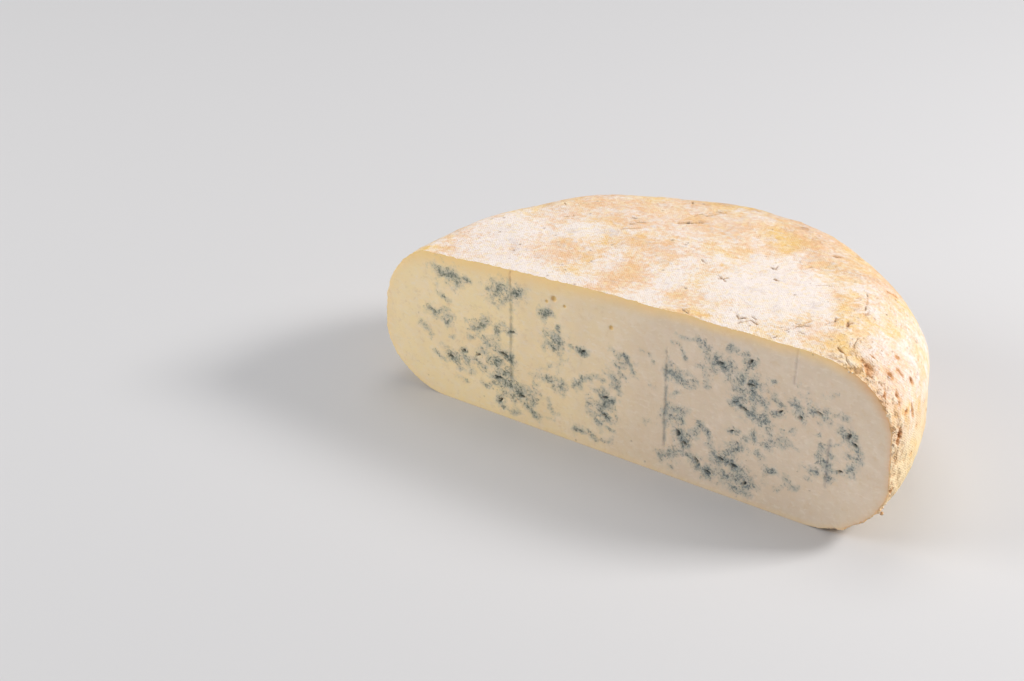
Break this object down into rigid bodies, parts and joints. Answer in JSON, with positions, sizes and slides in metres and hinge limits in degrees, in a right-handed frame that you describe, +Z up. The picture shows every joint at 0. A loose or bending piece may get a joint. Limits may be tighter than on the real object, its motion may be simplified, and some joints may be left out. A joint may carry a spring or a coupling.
{
  "type": "blue cheese half wheel",
  "caption": "Half wheel of soft blue-veined mountain cheese with a pale natural rind and a flat cut face that shows the mould, resting on its base.",
  "frame": {"origin": "middle of the underside's bounding box", "axes": "+Z up, -Y out of the cut face, +X along the cut face towards its taller end"},
  "size_m": [0.3222, 0.1592, 0.1065],
  "materials": {
    "cheese": "dry, chalky natural rind over a moist, slightly waxy ivory paste"
  },
  "bodies": {
    "root": {"half_wheel": "cheese"}
  },
  "joints": []
}
